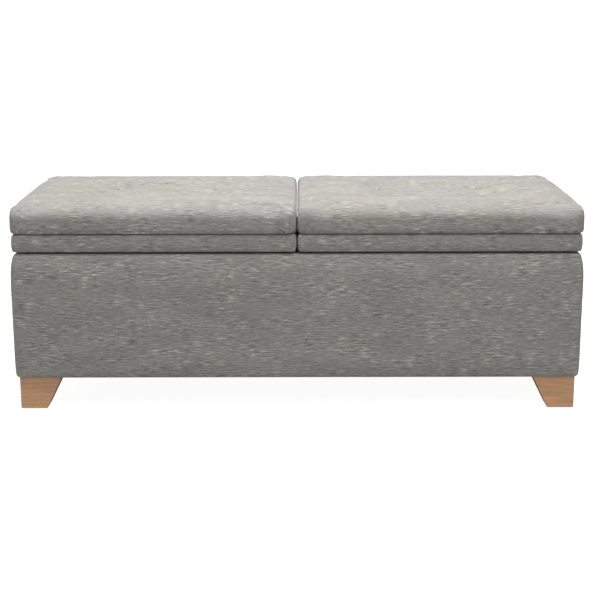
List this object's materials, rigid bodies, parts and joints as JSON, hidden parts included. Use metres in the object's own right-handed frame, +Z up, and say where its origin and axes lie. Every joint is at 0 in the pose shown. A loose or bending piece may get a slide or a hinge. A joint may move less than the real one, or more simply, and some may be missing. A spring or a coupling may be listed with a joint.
{
  "type": "storage bench",
  "caption": "Long fabric-covered storage bench with two hinged, button-tufted cushion lids over a padded box with two bins, on four tapered wooden legs.",
  "frame": {"origin": "on the floor, at the middle of the bench's length and depth", "axes": "+X to the sitter's left along the length, which is the viewer's right from the front; +Y to the back, where the hinges are; +Z up"},
  "size_m": [1.28, 0.51, 0.4679],
  "materials": {
    "upholstery": "matte",
    "foam": "matte",
    "lining_cloth": "matte",
    "dust_cloth": "matte",
    "tuft_twine": "matte",
    "leg_wood": "satin",
    "plywood": "matte",
    "pine": "matte",
    "zinc_steel": "satin",
    "glide_plastic": "matte",
    "bumper_rubber": "matte"
  },
  "bodies": {
    "base": {"front_left_leg": "leg_wood", "front_right_leg": "leg_wood", "back_left_leg": "leg_wood", "back_right_leg": "leg_wood", "leg_bolts": "zinc_steel", "leg_tee_nuts": "zinc_steel", "leg_glides": "glide_plastic", "front_panel": "plywood", "back_panel": "plywood", "left_side_panel": "plywood", "right_side_panel": "plywood", "floor_panel": "plywood", "centre_divider": "plywood", "hinge_rail": "pine", "corner_blocks": "pine", "floor_cleats": "pine", "front_padding": "foam", "back_padding": "foam", "left_padding": "foam", "right_padding": "foam", "base_cover": "upholstery", "dust_cover": "dust_cloth", "left_bin_lining": "lining_cloth", "right_bin_lining": "lining_cloth", "hinge_base_leaves": "zinc_steel", "hinge_pins": "zinc_steel", "base_screws": "zinc_steel", "lid_bumpers": "bumper_rubber", "left_stay_wall_stud": "zinc_steel", "right_stay_wall_stud": "zinc_steel"},
    "left_lid": {"left_lid_front_rail": "pine", "left_lid_back_rail": "pine", "left_lid_inner_rail": "pine", "left_lid_outer_rail": "pine", "left_lid_band_cover": "upholstery", "left_lid_lining": "lining_cloth", "left_lid_board": "plywood", "left_cushion_foam": "foam", "left_cushion_cover": "upholstery", "left_tuft_buttons": "upholstery", "left_tuft_ties": "tuft_twine", "left_hinge_leaves": "zinc_steel", "left_lid_screws": "zinc_steel", "left_stay_lid_bracket": "zinc_steel"},
    "left_stay": {"left_stay_arm": "zinc_steel"},
    "right_lid": {"right_lid_front_rail": "pine", "right_lid_back_rail": "pine", "right_lid_inner_rail": "pine", "right_lid_outer_rail": "pine", "right_lid_band_cover": "upholstery", "right_lid_lining": "lining_cloth", "right_lid_board": "plywood", "right_cushion_foam": "foam", "right_cushion_cover": "upholstery", "right_tuft_buttons": "upholstery", "right_tuft_ties": "tuft_twine", "right_hinge_leaves": "zinc_steel", "right_lid_screws": "zinc_steel", "right_stay_lid_bracket": "zinc_steel"},
    "right_stay": {"right_stay_arm": "zinc_steel"}
  },
  "joints": [
    {"name": "left_lid_hinge", "type": "hinge", "parent": "base", "child": "left_lid", "pos_m": [-0.31825, 0.25148, 0.3632], "axis": [-1, 0, 0], "range_deg": [0, 80]},
    {"name": "left_stay_pivot", "type": "hinge", "parent": "left_lid", "child": "left_stay", "pos_m": [-0.59555, 0.1128, 0.3829], "axis": [-1, 0, 0], "range_deg": [-40, 0]},
    {"name": "right_lid_hinge", "type": "hinge", "parent": "base", "child": "right_lid", "pos_m": [0.31825, 0.25148, 0.3632], "axis": [-1, 0, 0], "range_deg": [0, 80]},
    {"name": "right_stay_pivot", "type": "hinge", "parent": "right_lid", "child": "right_stay", "pos_m": [0.59555, 0.1128, 0.3829], "axis": [-1, 0, 0], "range_deg": [-40, 0]}
  ],
  "couplings": [
    {"joint": "left_stay_pivot", "follows": "left_lid_hinge", "ratio": -0.5},
    {"joint": "right_stay_pivot", "follows": "right_lid_hinge", "ratio": -0.5}
  ]
}
